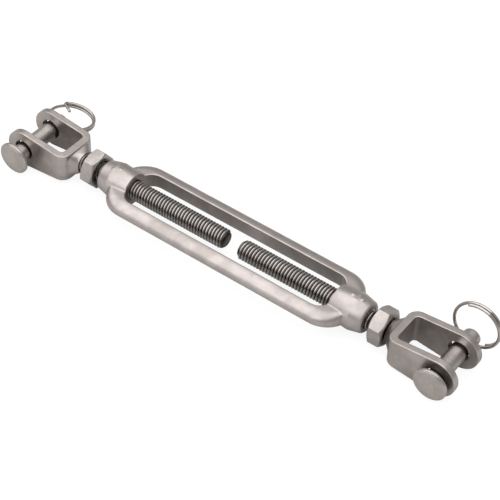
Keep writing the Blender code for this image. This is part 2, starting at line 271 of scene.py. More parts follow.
# %% [markdown]
# ## The body
# The body is one casting: two rounded side bars that close in to a threaded boss at each end.
# The bars are lofted together as one wide solid whose two sides are half superellipses, flat
# towards each other. The bosses are turned, and the long window is cut out with round corners.
# A few raised pips on the bosses stand for a foundry's mould marks. They go in before the skin
# is laid, so they melt into it.

# %% Body shape
WINDOW_HALF_LENGTH = 0.0352
WINDOW_HALF_WIDTH = 0.00692
WINDOW_CORNER = 0.0040
BAR_DEPTH = 0.00385  # each bar's section is half a superellipse, flat towards the window
BAR_HALF_HEIGHT = 0.00238
BAR_ROUNDNESS = 2.3
SHOULDER_START = 0.03315  # where the bars begin to close in, along an arc
SHOULDER_RADIUS = 0.0080
SHOULDER_DROP = 0.0056  # how far they close in, which is inside the boss
BOSS_PROFILE = ((0.0328, 0.0048), (0.0416, 0.0055), (0.04535, 0.00465), (0.0458, 0.0042))
BORE_RADIUS = 0.0030
BODY_SKIN = 0.00015  # size of the relaxed skin's faces
BODY_RELAX = 6
BODY_LUMPS = 0.00005
SHOULDER_STEPS = 16
BAR_STEPS = 40
WINDOW_CUT = 0.008  # half the depth of the window's cutter
BORE_CUT = 0.06  # half the length of the bore's cutter
MARK_RADIUS = 0.00052
MARK_RISE = 0.00022
MARK_FROM_AXIS = 0.00535
# each pip's place along the body, and its angle from the top towards the front
MARKS = {"left": ((0.0401, 2), (0.0418, 14), (0.0418, -12)),
         "right": ((0.0399, -4), (0.0415, -14), (0.0415, 8), (0.0430, -3))}


def pip(name, place, radius, rise):
    """A low round dome that stands a little proud of the boss."""
    profile = [(0, -rise), (radius, -rise), (radius, 0.2 * rise)]
    profile += [(radius * math.cos(a), rise * math.sin(a)) for a in (0.5, 0.9, 1.25)]
    return turned(name, profile + [(0, rise)], 20, place)


def bars_section(x, drop):
    """Both bars at x, joined across the middle, when they have closed in by drop."""
    half = []
    for i in range(BAR_STEPS):
        angle = math.pi * (i / (BAR_STEPS - 1) - 0.5)
        cos, sin = max(math.cos(angle), 0.0), math.sin(angle)
        half.append((WINDOW_HALF_WIDTH - drop + BAR_DEPTH * cos ** (2 / BAR_ROUNDNESS),
                     BAR_HALF_HEIGHT * math.copysign(abs(sin) ** (2 / BAR_ROUNDNESS), sin)))
    return [(x, y, z) for y, z in half] + [(x, -y, -z) for y, z in half]


def body_sections():
    """Straight bars, then an arc that ends inside the boss."""
    last = math.acos(1 - SHOULDER_DROP / SHOULDER_RADIUS)
    half = [(0.0, 0.0), (SHOULDER_START / 2, 0.0)]
    for step in range(SHOULDER_STEPS + 1):
        angle = last * step / SHOULDER_STEPS
        half.append((SHOULDER_START + SHOULDER_RADIUS * math.sin(angle),
                     SHOULDER_RADIUS * (1 - math.cos(angle))))
    for x, drop in [(-x, drop) for x, drop in reversed(half[1:])] + half:
        yield bars_section(x, drop)


body_place = Matrix.Translation(spot(BODY_X))
body = lofted("cast_body", list(body_sections()), body_place)
bosses, marks = [], []
for side, end in ENDS.items():
    way = end["way"]
    profile = [(0, BOSS_PROFILE[0][0])] + [(r, h) for h, r in BOSS_PROFILE]
    bosses.append(turned(f"{side}_boss", profile + [(0, BOSS_PROFILE[-1][0])], 96,
                         facing(spot(BODY_X), (way, 0, 0))))
for side, pips in MARKS.items():
    for i, (along, angle) in enumerate(pips):
        lean = math.radians(angle)
        out = Vector((0, -math.sin(lean), math.cos(lean)))
        centre = spot(BODY_X + ENDS[side]["way"] * along) + out * MARK_FROM_AXIS
        marks.append(pip(f"{side}_pip_{i}", facing(centre, out, (1, 0, 0)), MARK_RADIUS, MARK_RISE))
half_x, half_y, r = WINDOW_HALF_LENGTH, WINDOW_HALF_WIDTH, WINDOW_CORNER
outline = arc(half_x - r, half_y - r, r, 0, 90) + arc(r - half_x, half_y - r, r, 90, 180)
outline += arc(r - half_x, r - half_y, r, 180, 270) + arc(half_x - r, r - half_y, r, 270, 360)
window = plate("window", outline, WINDOW_CUT, body_place)
bore = drill("bore", BORE_RADIUS, -BORE_CUT, BORE_CUT, facing(spot(BODY_X), (1, 0, 0)))
cast(body, bosses + marks, [window, bore], BODY_SKIN, BODY_RELAX, BODY_LUMPS)
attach(body, "body")
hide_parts("body_frame")

# %% [markdown]
# ## Threaded rods
# A rolled M6 thread is a 60 degree groove that climbs 1 mm in each turn. It could be a bump in the
# material, but the window shows it against the light, so it is real: a grid of points that winds
# round the rod, with a crest, two flanks and a root across each pitch. At the ends the points are
# held inside a short cone, which is the lead-in chamfer that lets a nut start. The right-hand end
# of the body takes a left-hand thread, so that turning the body draws both jaws in.

# %% Rods
THREAD_PITCH = 0.0010
CREST_RADIUS = 0.00295
ROOT_RADIUS = 0.00236
THREAD_PROFILE = ((0.0, 1.0), (0.16, 1.0), (0.22, 0.93), (0.47, 0.05), (0.55, 0.0), (0.63, 0.05),
                  (0.92, 0.93))  # share of the pitch, and of the thread's depth
THREAD_STEPS = 48
LEAD_IN_RADIUS = ROOT_RADIUS - 0.0001  # of the rod's flat end
LEAD_IN_SLOPE = (CREST_RADIUS - ROOT_RADIUS) / 0.000625  # a thread's depth in this length
POINT_WELD = 0.000004  # points closer than this are one


def thread_point(x, radius, angle, length):
    """A point of the thread, kept within the rod's length and its two lead-in cones."""
    x = min(max(x, 0.0), length)
    radius = min(radius, LEAD_IN_RADIUS + min(x, length - x) * LEAD_IN_SLOPE)
    return radius * math.cos(angle), radius * math.sin(angle), x


def threaded(name, length, hand, place):
    """A rod along +Z from its fixed end, with hand +1 for a right-hand thread."""
    bm = bmesh.new()
    per_turn, points = THREAD_STEPS, len(THREAD_PROFILE)
    rows = round((length / THREAD_PITCH + 3) * per_turn)
    grid = []
    for row in range(rows + per_turn + 1):
        angle = 2 * math.pi * row / per_turn
        base = (row / per_turn - 2) * THREAD_PITCH
        grid.append([
            bm.verts.new(thread_point(
                base + share * THREAD_PITCH,
                ROOT_RADIUS + (CREST_RADIUS - ROOT_RADIUS) * depth,
                hand * angle,
                length,
            ))
            for share, depth in (THREAD_PROFILE if row <= rows else THREAD_PROFILE[:1])
        ])
    for row in range(rows):
        for p in range(points):
            after = (row, p + 1) if p + 1 < points else (row + per_turn, 0)
            beyond = (row + 1, p + 1) if p + 1 < points else (row + 1 + per_turn, 0)
            bm.faces.new([grid[row][p], grid[row + 1][p], grid[beyond[0]][beyond[1]],
                          grid[after[0]][after[1]]])
    bmesh.ops.remove_doubles(bm, verts=bm.verts, dist=POINT_WELD)
    bmesh.ops.dissolve_degenerate(bm, edges=bm.edges, dist=POINT_WELD)
    bmesh.ops.holes_fill(bm, edges=[e for e in bm.edges if e.is_boundary])
    return mesh_piece(name, bm, place)


for side, end in ENDS.items():
    low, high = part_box(f"{side}_stud")
    way = end["way"]
    start, stop = (low.x, high.x) if way < 0 else (high.x, low.x)
    rod = threaded(f"{side}_threaded_rod", high.x - low.x, 1 if way < 0 else -1,
                   facing(spot(start), (-way, 0, 0)))
    rod.data.shade_smooth()
    end["rod"] = rod
    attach(rod, f"{side}_jaw")
    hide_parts(f"{side}_stud")
    print(rod.name, len(rod.data.polygons), "faces,", round((high.x - low.x) * 1000, 1), "mm long")

# %% [markdown]
# ## Lock nuts
# A nut is a hexagon whose two ends are turned down by a cone, so that its corners end in curved
# chamfers. Rather than cutting a prism with a cone, the rings of points follow the hexagon's own
# outline, and each ring near an end is lowered as far as the cone asks at its distance from
# the middle. The curve of the chamfer then comes out exactly, and each edge gets a fine bevel.

# %% Nuts
NUT_ACROSS_FLATS = 0.0100
NUT_STEPS = 96
NUT_FLAT_RADIUS = 0.00475  # of the flat ring that the cone leaves on each face
NUT_BORE_RADIUS = 0.00302
NUT_MOUTH_RADIUS = 0.0036  # of the countersink
NUT_MOUTH_DEPTH = 0.0006
NUT_EDGE = 0.00014
CONE_SLOPE = math.tan(math.radians(28))
CONE_INSET, CONE_STEP = 0.0001, 0.00006  # the cone's small step down where it starts


def hexagon_radius(angle):
    """From the middle to the hexagon's side, with a corner at 30 degrees."""
    share = (angle + math.pi / 6) % (math.pi / 3) - math.pi / 6
    return NUT_ACROSS_FLATS / 2 / math.cos(share)


def nut(name, thickness, place):
    """Four rings at each end: the bore, its countersink, the flat face and the hexagon."""
    bm = bmesh.new()
    half = thickness / 2
    rings = []
    for end in (-1, 1):
        rows = []
        for step in range(NUT_STEPS):
            angle = 2 * math.pi * step / NUT_STEPS
            outer = hexagon_radius(angle)
            drop = max(outer - NUT_FLAT_RADIUS, 0) * CONE_SLOPE
            column = [(NUT_BORE_RADIUS, half - NUT_MOUTH_DEPTH), (NUT_MOUTH_RADIUS, half),
                      (NUT_FLAT_RADIUS - CONE_INSET, half), (outer, half - drop - CONE_STEP)]
            rows.append([(r * math.cos(angle), r * math.sin(angle), end * h) for r, h in column])
        rings.append([[bm.verts.new(row[k]) for row in rows] for k in range(len(column))])
    order = rings[0] + rings[1][::-1]
    for near, far in zip(order, order[1:] + order[:1]):
        for i in range(NUT_STEPS):
            j = (i + 1) % NUT_STEPS
            bm.faces.new([near[i], near[j], far[j], far[i]])
    piece = mesh_piece(name, bm, place)
    bevel = piece.modifiers.new("fine_edges", "BEVEL")
    bevel.width = NUT_EDGE
    bevel.segments = 3
    bevel.limit_method = "ANGLE"
    bevel.angle_limit = math.radians(24)
    settle(piece)
    even = piece.modifiers.new("even_light", "WEIGHTED_NORMAL")
    even.keep_sharp = True
    return piece


def corner_angle(node, middle):
    """How far the nut is turned, from the lie of its solid's points."""
    best = max(frame["nodes"][node].data.vertices,
               key=lambda v: math.hypot(v.co.y - middle.y, v.co.z - middle.z))
    return math.atan2(best.co.z - middle.z, best.co.y - middle.y)


for side, end in ENDS.items():
    low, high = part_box(f"{side}_lock_nut")
    middle = spot((low.x + high.x) / 2)
    corner = corner_angle(f"{side}_lock_nut", middle)
    across = (0, math.cos(corner - math.pi / 6), math.sin(corner - math.pi / 6))
    piece = nut(f"{side}_hex_nut", high.x - low.x, facing(middle, (1, 0, 0), across))
    end["nut"] = piece
    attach(piece, f"{side}_nut")
    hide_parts(f"{side}_lock_nut")
    print(piece.name, "has a corner at", round(math.degrees(corner) % 60, 1), "degrees")

# %% [markdown]
# ## Forked jaws
# A jaw is a strap bent into a U, with a round eye in each ear and a flared neck behind the bridge
# for the rod. Seen from above it is the U, and seen from the side it is an eye that narrows
# towards the bridge, so the two outlines are crossed and the common solid kept. The neck is a
# funnel that starts square on the bridge and ends round. The relaxed skin then gives the soft
# edges of a forging that has been tumbled.

# %% Forks
JAW_REACH = 0.0157  # from the pin to the back of the bridge
JAW_HALF_WIDTH = 0.00695
EAR_THICKNESS = 0.00205
BRIDGE_THICKNESS = 0.0023
BRIDGE_HALF_HEIGHT = 0.0043
OUTER_BEND, INNER_BEND = 0.0031, 0.0012
EYE_RADIUS = 0.0060
EYE_HOLE_RADIUS = 0.00305
NECK_LENGTH = 0.0023
NECK_RADIUS = 0.00345
NECK_INSIDE = 0.0006  # how far the neck starts inside the bridge
NECK_FLARE = 1.7  # the power of its funnel's curve
NECK_STEPS = 8
SOCKET_END = JAW_REACH - 0.0011  # from the pin, about halfway through the bridge
SOCKET_CUT = 0.02
EYE_CUT = 0.01
FORK_SKIN = 0.00013
FORK_RELAX = 8
FORK_LUMPS = 0.00003
MARGIN = 0.001


def fork_plan():
    """The U seen from above, open towards +X, with the pin at the origin."""
    outer, inner = JAW_HALF_WIDTH, JAW_HALF_WIDTH - EAR_THICKNESS
    back, throat = -JAW_REACH, BRIDGE_THICKNESS - JAW_REACH
    mouth = EYE_RADIUS + MARGIN
    big, small = OUTER_BEND, INNER_BEND
    points = [(mouth, outer)] + arc(back + big, outer - big, big, 90, 180)
    points += arc(back + big, big - outer, big, 180, 270) + [(mouth, -outer), (mouth, -inner)]
    points += arc(throat + small, small - inner, small, 270, 180)
    return points + arc(throat + small, inner - small, small, 180, 90) + [(mouth, inner)]


def fork_side():
    """The eye seen from the side, narrowing along its tangents towards the bridge."""
    back, low = -(JAW_REACH + MARGIN), BRIDGE_HALF_HEIGHT
    tangent = math.degrees(
        math.atan2(low, back) - math.acos(EYE_RADIUS / math.hypot(back, low)))
    return arc(0, 0, EYE_RADIUS, -tangent, tangent, 64) + [(back, low), (back, -low)]


def fork_neck(name, place):
    """The funnel behind the bridge, nearly square where it starts and round at the rod."""
    half_y, half_z = JAW_HALF_WIDTH - OUTER_BEND / 2, BRIDGE_HALF_HEIGHT - 0.0001
    sections = []
    for step in range(NECK_STEPS + 1):
        share = step / NECK_STEPS
        flare = (1 - share) ** NECK_FLARE
        x = NECK_INSIDE - JAW_REACH - (NECK_LENGTH + NECK_INSIDE) * share
        width = NECK_RADIUS + (half_y - NECK_RADIUS) * flare
        height = NECK_RADIUS + (half_z - NECK_RADIUS) * flare
        sections.append(superellipse(x, width, height, 2 + 4 * flare, 64))
    return lofted(name, sections, place)


for side, end in ENDS.items():
    # the jaw's own X leads out of its mouth, away from the body
    jaw = Matrix.Translation(spot(end["pin_x"])) @ Matrix.Rotation(
        0 if end["way"] > 0 else math.pi, 4, "Z")
    upright_plate = jaw @ Matrix.Rotation(math.radians(90), 4, "X")
    fork = plate(f"{side}_forged_fork", fork_plan(), EYE_RADIUS + MARGIN, jaw)
    side_view = plate("side_view", fork_side(), JAW_HALF_WIDTH + MARGIN, upright_plate)
    combine(fork, [side_view], "INTERSECT")
    eyes = drill("eyes", EYE_HOLE_RADIUS, -EYE_CUT, EYE_CUT,
                 facing(spot(end["pin_x"]), (0, 1, 0)), 72)
    socket = drill("socket", BORE_RADIUS, SOCKET_END, SOCKET_CUT,
                   facing(spot(end["pin_x"]), (-end["way"], 0, 0)))
    cast(fork, [fork_neck("neck", jaw)], [eyes, socket], FORK_SKIN, FORK_RELAX, FORK_LUMPS)
    end["fork"] = fork
    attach(fork, f"{side}_jaw")
    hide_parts(f"{side}_fork")

# %% [markdown]
# ## Clevis pins
# A clevis pin is turned from bar: a thin round head with eased edges, a small fillet under it, a
# plain shank, and a tip that is domed so that it finds its hole. A cross hole near the tip takes
# the split ring. The profile is drawn once and swept, and only the cross hole is cut.

# %% Pins
PIN_RADIUS = 0.0026
PIN_LENGTH = 0.0211  # from the head's inner face to the tip
HEAD_RADIUS = 0.0050
HEAD_THICKNESS = 0.0013
TIP_CURVE = 0.0009
TIP_FACE_RADIUS = PIN_RADIUS - 0.0011
CROSS_HOLE_RADIUS = 0.00102
CROSS_HOLE_CUT = 0.004
# the head's rims, as (in from the widest radius, along from the face they round off)
OUTER_RIM = ((0.0012, 0.0), (0.00064, 0.0), (0.00056, 0.00002), (0.00050, 0.00006),
             (0.00020, 0.00030), (0.00009, 0.00036), (0.00002, 0.00044), (0.0, 0.00054))
INNER_RIM = ((0.0, 0.00030), (0.00003, 0.00018), (0.00011, 0.00008), (0.00024, 0.0))
FILLET = ((0.00025, 0.0), (0.00008, 0.00007), (0.0, 0.00025))  # out from the shank, and along it


def pin_profile():
    """From the outside of the head to the tip, as (radius, height)."""
    points = [(0, -HEAD_THICKNESS)]
    points += [(HEAD_RADIUS - inset, along - HEAD_THICKNESS) for inset, along in OUTER_RIM]
    points += [(HEAD_RADIUS - inset, -along) for inset, along in INNER_RIM]
    points += [(PIN_RADIUS + out, along) for out, along in FILLET]
    points += [(PIN_RADIUS, PIN_LENGTH * share) for share in (0.3, 0.6)]
    points += [(PIN_RADIUS + TIP_CURVE * (math.cos(a) - 1),
                PIN_LENGTH + TIP_CURVE * (math.sin(a) - 1))
               for a in (0.0, 0.25, 0.5, 0.75, 1.0, 1.25)]
    return points + [(TIP_FACE_RADIUS, PIN_LENGTH), (0, PIN_LENGTH)]


for side, end in ENDS.items():
    low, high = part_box(f"{side}_clevis_pin")
    swing = joints[f"{side}_ring_swing"]
    hole_spot, hole_axis = Vector(swing["pos_m"]), Vector(swing["axis"])
    middle = (low + high) / 2
    place = facing((end["pin_x"], low.y + HEAD_THICKNESS, middle.z), (0, 1, 0))
    pin = turned(f"{side}_headed_pin", pin_profile(), 96, place)
    hole = drill("cross_hole", CROSS_HOLE_RADIUS, -CROSS_HOLE_CUT, CROSS_HOLE_CUT,
                 facing(hole_spot, hole_axis, (0, 1, 0)), 40)
    combine(pin, [hole], "DIFFERENCE")
    pin.modifiers.new("even_light", "WEIGHTED_NORMAL")
    end["pin"] = pin
    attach(pin, f"{side}_pin")
    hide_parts(f"{side}_clevis_pin")
    print(pin.name, "is", round(1000 * (high.y - low.y), 1), "mm long")

# %% [markdown]
# ## Split rings
# A split ring is drawn wire wound one and a half times, so that it can be worked into the cross
# hole and can't fall out. The wire follows a helix with a pitch just over its own width. It is
# swept as a tube of its own, because the ends of the wire are seen and need a cut face with an
# eased edge. The ring's lean is read from where its solid's box lies about the hole.

# %% Rings
RING_RADIUS = 0.0068
WIRE_RADIUS = 0.00045
RING_PITCH = 0.00101
RING_TURNS = 1.5
RING_LEG = 0.0046
RING_START = {"left": -300, "right": -320}  # where the wire begins, in degrees from the hole
RING_STEPS = 108
WIRE_SIDES = 14
WIRE_TIP = ((0.0, 0.6), (0.08, 0.86), (0.25, 1.0))  # along from the cut face, and share of radius


def wire_path(start_deg, with_leg):
    """In the plane of the ring: X along the cross hole, Y from the hole to the ring's middle."""
    slack = WIRE_RADIUS / 2  # the wire's bow inside the straight hole is shared both ways
    points = []
    for i in range(RING_STEPS + 1):
        angle = math.radians(start_deg + 360 * RING_TURNS * i / RING_STEPS)
        points.append(Vector((RING_RADIUS * math.sin(angle),
                              RING_RADIUS * (1 - math.cos(angle)) - slack,
                              RING_PITCH * angle / (2 * math.pi))))
    if with_leg:
        middle = Vector((0, RING_RADIUS - slack, points[-1].z))
        inward = (middle - points[-1]).normalized()
        corner, before = points[-1], points[-1] - points[-2]
        bend = before.length * 1.6
        points.pop()
        for share in (0.25, 0.5, 0.75):
            points.append(corner - before.normalized() * bend * (1 - share) ** 2
                          + inward * bend * share ** 2)
        points += [corner + inward * RING_LEG * share for share in (0.25, 0.4, 0.6, 0.8, 1.0)]
    return points


def wire(name, path, place):
    """A round wire along a path, with eased ends."""
    bm = bmesh.new()
    directions = [(b - a).normalized() for a, b in zip(path, path[1:])]
    directions = [directions[0]] + [
        (a + b).normalized() for a, b in zip(directions, directions[1:])] + [directions[-1]]
    side_on = directions[0].orthogonal().normalized()
    rings = []
    first, last = directions[0] * WIRE_RADIUS, directions[-1] * WIRE_RADIUS
    stations = [(path[0] + first * along, directions[0], share) for along, share in WIRE_TIP]
    stations += [(p, d, 1.0) for p, d in zip(path[1:-1], directions[1:-1])]
    stations += [(path[-1] - last * along, directions[-1], share)
                 for along, share in reversed(WIRE_TIP)]
    for point, direction, share in stations:
        side_on = (side_on - side_on.dot(direction) * direction).normalized()
        over = direction.cross(side_on)
        rings.append([
            bm.verts.new(point + WIRE_RADIUS * share * (
                math.cos(a) * side_on + math.sin(a) * over))
            for a in (2 * math.pi * i / WIRE_SIDES for i in range(WIRE_SIDES))])
    for near, far in zip(rings, rings[1:]):
        for i in range(WIRE_SIDES):
            j = (i + 1) % WIRE_SIDES
            bm.faces.new([near[i], near[j], far[j], far[i]])
    bm.faces.new(rings[0])
    bm.faces.new(rings[-1])
    return mesh_piece(name, bm, place)


for side, end in ENDS.items():
    low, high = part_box(f"{side}_split_ring")
    swing = joints[f"{side}_ring_swing"]
    hole_spot, along = Vector(swing["pos_m"]), Vector(swing["axis"]).normalized()
    reach = (low + high) / 2 - hole_spot
    reach = (reach - reach.dot(along) * along).normalized()
    rows = Matrix((along, reach, along.cross(reach))).transposed().to_4x4()
    ring = wire(f"{side}_wire_ring", wire_path(RING_START[side], side == "left"), Matrix())
    ring.data.transform(Matrix.Translation(hole_spot) @ rows)
    ring.data.shade_smooth()
    end["ring"] = ring
    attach(ring, f"{side}_ring")
    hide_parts(f"{side}_split_ring")
    print(ring.name, "leans", round(math.degrees(math.asin(reach.z)), 1), "degrees up")

# %% [markdown]
# ## Steel, made of shared effects
# Every piece is stainless steel, yet each was worked in its own way. What they share is built
# once, as groups of shader nodes: a cloudy variation with a fine grain, a mask of worn edges whose
# colour is also lightened as a painted highlight, painted shade that darkens corners and hollows,
# and the rings and lines that a lathe or a die leaves. Each steel then mixes these in its own
# amounts. The reflective shader itself stays in each material.

# %% Groups: grain, wear, and tool marks
def node_group(name, inputs, outputs):
    """A group with the given sockets, and its two end nodes."""
    group = bpy.data.node_groups.new(name, "ShaderNodeTree")
    for label, kind, value in inputs:
        socket = group.interface.new_socket(name=label, in_out="INPUT", socket_type=kind)
        if value is not None:
            socket.default_value = value
    for label, kind in outputs:
        group.interface.new_socket(name=label, in_out="OUTPUT", socket_type=kind)
    return group, group.nodes.new("NodeGroupInput"), group.nodes.new("NodeGroupOutput")


def node(tree, kind, settings=None, **links):
    """Adds a node and joins or fills its sockets, by name, or by number as in _0."""
    made = tree.nodes.new(kind)
    for key, value in (settings or {}).items():
        setattr(made, key, value)
    for key, value in links.items():
        socket = made.inputs[int(key[1:]) if key[0] == "_" else key]
        if isinstance(value, bpy.types.NodeSocket):
            tree.links.new(value, socket)
        else:
            socket.default_value = value
    return made


def ramp(tree, fac, stops):
    """Maps one range of a value smoothly onto another."""
    made = node(tree, "ShaderNodeMapRange", {"interpolation_type": "SMOOTHSTEP"}, Value=fac)
    low, high, out_low, out_high = stops
    for label, value in (("From Min", low), ("From Max", high), ("To Min", out_low),
                         ("To Max", out_high)):
        made.inputs[label].default_value = value
    return made.outputs["Result"]


def maths(tree, operation, a, b):
    return node(tree, "ShaderNodeMath", {"operation": operation}, _0=a, _1=b).outputs[0]


FLOAT, COLOUR, VECTOR = "NodeSocketFloat", "NodeSocketColor", "NodeSocketVector"

grain, inside, outside = node_group(
    "steel_grain",
    [("Vector", VECTOR, None), ("Light", COLOUR, (0.6, 0.58, 0.56, 1)),
     ("Dark", COLOUR, (0.4, 0.38, 0.36, 1)), ("Cloud Scale", FLOAT, 220.0),
     ("Grain Scale", FLOAT, 2600.0), ("Grain Depth", FLOAT, 0.5)],
    [("Color", COLOUR), ("Roughness Shift", FLOAT), ("Height", FLOAT)])
clouds = node(grain, "ShaderNodeTexNoise", Vector=inside.outputs["Vector"],
              Scale=inside.outputs["Cloud Scale"], Detail=5.0, Roughness=0.62)
fine = node(grain, "ShaderNodeTexNoise", Vector=inside.outputs["Vector"],
            Scale=inside.outputs["Grain Scale"], Detail=3.0, Roughness=0.6)
cloud_mask = ramp(grain, clouds.outputs["Fac"], (0.36, 0.66, 0, 1))
speck = ramp(grain, fine.outputs["Fac"], (0.62, 0.74, 0, 0.35))
shade = maths(grain, "SUBTRACT", cloud_mask, speck)
tone = node(grain, "ShaderNodeMix", {"data_type": "RGBA"}, Factor=shade)
grain.links.new(inside.outputs["Dark"], tone.inputs[6])
grain.links.new(inside.outputs["Light"], tone.inputs[7])
grain.links.new(tone.outputs[2], outside.inputs["Color"])
grain.links.new(ramp(grain, clouds.outputs["Fac"], (0.3, 0.7, 0.07, -0.05)),
                outside.inputs["Roughness Shift"])
grain.links.new(maths(grain, "MULTIPLY", fine.outputs["Fac"], inside.outputs["Grain Depth"]),
                outside.inputs["Height"])

rub_and_light_group, inside, outside = node_group(
    "edge_rub_and_painted_light",
    [("Vector", VECTOR, None), ("Color", COLOUR, (0.5, 0.5, 0.5, 1)),
     ("Edge Highlight", FLOAT, 0.35), ("Corner Shade", FLOAT, 0.6), ("Softness", FLOAT, 0.06)],
    [("Color", COLOUR), ("Edge", FLOAT)])
geometry = node(rub_and_light_group, "ShaderNodeNewGeometry")
rub = node(rub_and_light_group, "ShaderNodeTexNoise", Vector=inside.outputs["Vector"], Scale=900.0, Detail=4.0)
convex = maths(rub_and_light_group, "SUBTRACT", geometry.outputs["Pointiness"], 0.5)
# worn edges, broken up by rubbing: real wear that makes them smoother, and a painted highlight that
# lightens their colour
edge = maths(rub_and_light_group, "MULTIPLY", ramp(rub_and_light_group, convex, (0.015, 0.09, 0, 1)),
             ramp(rub_and_light_group, rub.outputs["Fac"], (0.32, 0.55, 0.35, 1)))
# painted shade: concave hollows, and corners that ambient occlusion finds closed in, darken the
# colour
hollow_shade_mask = ramp(rub_and_light_group, convex, (-0.09, -0.012, 1, 0))
occluded = node(rub_and_light_group, "ShaderNodeAmbientOcclusion", {"samples": 8}, Distance=0.0022)
shadow = ramp(rub_and_light_group, occluded.outputs["AO"], (0.25, 0.85, 1, 0))
painted_corner_shade = maths(rub_and_light_group, "MULTIPLY", maths(rub_and_light_group, "MAXIMUM", hollow_shade_mask, shadow),
             inside.outputs["Corner Shade"])
painted_edge_highlight = node(rub_and_light_group, "ShaderNodeMix", {"data_type": "RGBA", "blend_type": "SCREEN"},
                _0=maths(rub_and_light_group, "MULTIPLY", edge, inside.outputs["Edge Highlight"]))
rub_and_light_group.links.new(inside.outputs["Color"], painted_edge_highlight.inputs[6])
# the pale grey of the painted edge highlight
painted_edge_highlight.inputs[7].default_value = (0.75, 0.74, 0.72, 1)
# the painted shade is multiplied into the colour, towards a dark brown tint
darker = node(rub_and_light_group, "ShaderNodeMix", {"data_type": "RGBA", "blend_type": "MULTIPLY"}, _0=painted_corner_shade)
rub_and_light_group.links.new(painted_edge_highlight.outputs[2], darker.inputs[6])
darker.inputs[7].default_value = (0.16, 0.14, 0.12, 1)
rub_and_light_group.links.new(darker.outputs[2], outside.inputs["Color"])
rub_and_light_group.links.new(edge, outside.inputs["Edge"])

marks_group, inside, outside = node_group(
    "tool_marks",
    [("Vector", VECTOR, None), ("Fineness", FLOAT, 9000.0), ("Depth", FLOAT, 0.5)],
    [("Height", FLOAT)])
apart = node(marks_group, "ShaderNodeSeparateXYZ", Vector=inside.outputs["Vector"])
flat = node(marks_group, "ShaderNodeCombineXYZ", X=apart.outputs["X"], Y=apart.outputs["Y"])
radius = node(marks_group, "ShaderNodeVectorMath", {"operation": "LENGTH"}, _0=flat.outputs[0])
line = node(marks_group, "ShaderNodeCombineXYZ", X=radius.outputs["Value"], Z=apart.outputs["Z"])
line_noise = node(marks_group, "ShaderNodeTexNoise", Vector=line.outputs[0],
                  Scale=inside.outputs["Fineness"], Detail=2.0)
marks_group.links.new(maths(marks_group, "MULTIPLY", line_noise.outputs["Fac"],
                            inside.outputs["Depth"]), outside.inputs["Height"])


# %% [markdown]
# ## One steel for each way of working
# The body and the forks are cast and forged, then tumbled: satin, a little warm, with a fine
# grain and polished edges that also get a painted highlight. Nut and pin are machined, so they
# carry fine turned lines. The rod's thread is rolled, and its root is painted dark as shade. The
# ring is drawn wire, the brightest of all.

# %% Steels
RELIEF_DEPTH = 0.00003  # of the grain and the tool marks
LATHE_FINENESS = 9000.0
EDGE_POLISH = -0.12  # how much smoother a rubbed edge is


def shared(tree, group):
    made = tree.nodes.new("ShaderNodeGroup")
    made.node_tree = group
    return made


def steel(name, light, dark, roughness, grain_depth, edge_highlight, corner_shade, tool=0.0,
          cloud_scale=220.0):
    material = bpy.data.materials.new(name)
    material.use_nodes = True
    tree = material.node_tree
    shader = tree.nodes["Principled BSDF"]
    shader.inputs["Metallic"].default_value = 1.0
    place = tree.nodes.new("ShaderNodeTexCoord").outputs["Object"]
    skin = shared(tree, grain)
    tree.links.new(place, skin.inputs["Vector"])
    skin.inputs["Light"].default_value = (*light, 1)
    skin.inputs["Dark"].default_value = (*dark, 1)
    skin.inputs["Cloud Scale"].default_value = cloud_scale
    skin.inputs["Grain Depth"].default_value = grain_depth
    rub_and_light = shared(tree, rub_and_light_group)
    tree.links.new(place, rub_and_light.inputs["Vector"])
    tree.links.new(skin.outputs["Color"], rub_and_light.inputs["Color"])
    # how strongly worn edges get a painted highlight
    rub_and_light.inputs["Edge Highlight"].default_value = edge_highlight
    # how strongly corners and hollows get painted shade
    rub_and_light.inputs["Corner Shade"].default_value = corner_shade
    tree.links.new(rub_and_light.outputs["Color"], shader.inputs["Base Color"])
    height = skin.outputs["Height"]
    if tool:
        lines = shared(tree, marks_group)
        tree.links.new(place, lines.inputs["Vector"])
        lines.inputs["Fineness"].default_value = LATHE_FINENESS
        lines.inputs["Depth"].default_value = tool
        height = maths(tree, "ADD", height, lines.outputs["Height"])
    polished = maths(tree, "MULTIPLY", rub_and_light.outputs["Edge"], EDGE_POLISH)
    rough = maths(tree, "ADD", skin.outputs["Roughness Shift"], roughness)
    rough = node(tree, "ShaderNodeMath", {"operation": "ADD", "use_clamp": True}, _0=rough,
                 _1=polished).outputs[0]
    tree.links.new(rough, shader.inputs["Roughness"])
    relief = node(tree, "ShaderNodeBump", Height=height, Strength=1.0, Distance=RELIEF_DEPTH)
    tree.links.new(relief.outputs["Normal"], shader.inputs["Normal"])
    return material


# light and dark tone, roughness, grain depth, painted edge highlight, painted corner shade, tool
# marks
STEELS = {
    "body": steel("cast_steel", (0.63, 0.595, 0.575), (0.51, 0.48, 0.46), 0.36, 0.9, 0.45, 0.85,
                  cloud_scale=160.0),
    "fork": steel("forged_steel", (0.60, 0.565, 0.54), (0.48, 0.45, 0.425), 0.33, 1.0, 0.5, 0.85),
    "rod": steel("rolled_thread_steel", (0.66, 0.64, 0.62), (0.52, 0.50, 0.48), 0.22, 0.3, 0.3, 0.9),
    "nut": steel("nut_steel", (0.56, 0.54, 0.52), (0.46, 0.44, 0.42), 0.27, 0.2, 0.4, 0.7, 0.3),
    "pin": steel("turned_pin_steel", (0.63, 0.60, 0.575), (0.53, 0.505, 0.48), 0.27, 0.25, 0.3,
                 0.7, 0.7),
    "ring": steel("drawn_wire_steel", (0.68, 0.66, 0.64), (0.50, 0.48, 0.46), 0.16, 0.2, 0.2, 0.7),
}

